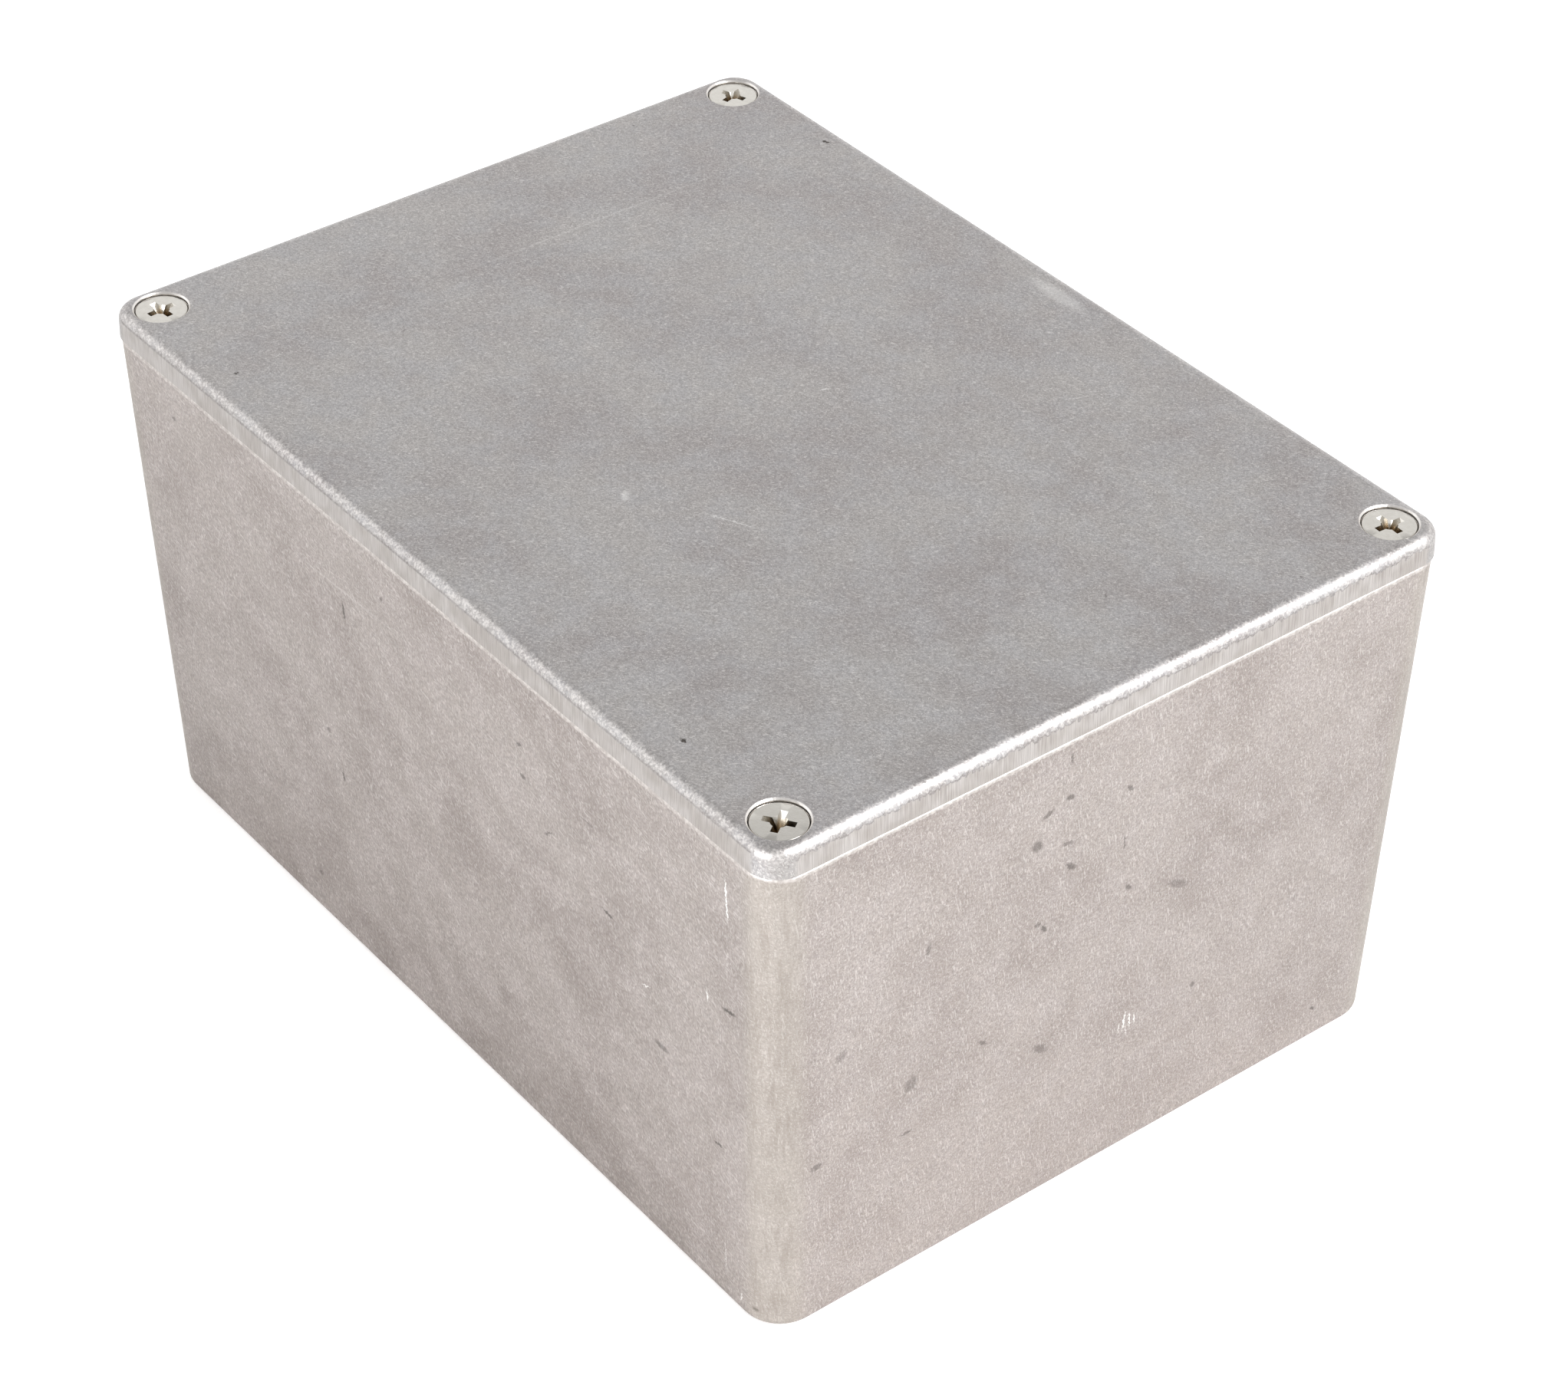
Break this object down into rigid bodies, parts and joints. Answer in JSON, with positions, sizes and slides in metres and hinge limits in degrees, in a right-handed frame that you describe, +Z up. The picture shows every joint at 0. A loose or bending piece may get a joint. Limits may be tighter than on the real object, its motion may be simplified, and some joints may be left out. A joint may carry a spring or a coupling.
{
  "type": "die cast aluminium box",
  "caption": "Rectangular die cast aluminium enclosure: deep drafted base with corner screw pillars, flush lift-off lid with locating lip, held by countersunk cross-recess screws.",
  "frame": {"origin": "middle of the underside of the base", "axes": "+X along the long side, +Y along the short side away from the front, +Z up through the lid"},
  "size_m": [0.14, 0.102, 0.076],
  "materials": {
    "base_casting": "tumbled, unpainted die cast aluminium, satin and softly mottled",
    "lid_casting": "tumbled, unpainted die cast aluminium with a linished band round its side",
    "nickel_screw": "bright nickel plated steel"
  },
  "bodies": {
    "base": {"box_base": "base_casting"},
    "lid": {"lid": "lid_casting"},
    "screw_fl": {"screw_front_left": "nickel_screw"},
    "screw_fr": {"screw_front_right": "nickel_screw"},
    "screw_bl": {"screw_back_left": "nickel_screw"},
    "screw_br": {"screw_back_right": "nickel_screw"}
  },
  "joints": [
    {"name": "lid_lift", "type": "slide", "parent": "base", "child": "lid", "axis": [0, 0, 1], "range_m": [0, 0.06]},
    {"name": "screw_fl_out", "type": "slide", "parent": "lid", "child": "screw_fl", "axis": [0, 0, 1], "range_m": [0, 0.014]},
    {"name": "screw_fr_out", "type": "slide", "parent": "lid", "child": "screw_fr", "axis": [0, 0, 1], "range_m": [0, 0.014]},
    {"name": "screw_bl_out", "type": "slide", "parent": "lid", "child": "screw_bl", "axis": [0, 0, 1], "range_m": [0, 0.014]},
    {"name": "screw_br_out", "type": "slide", "parent": "lid", "child": "screw_br", "axis": [0, 0, 1], "range_m": [0, 0.014]}
  ]
}
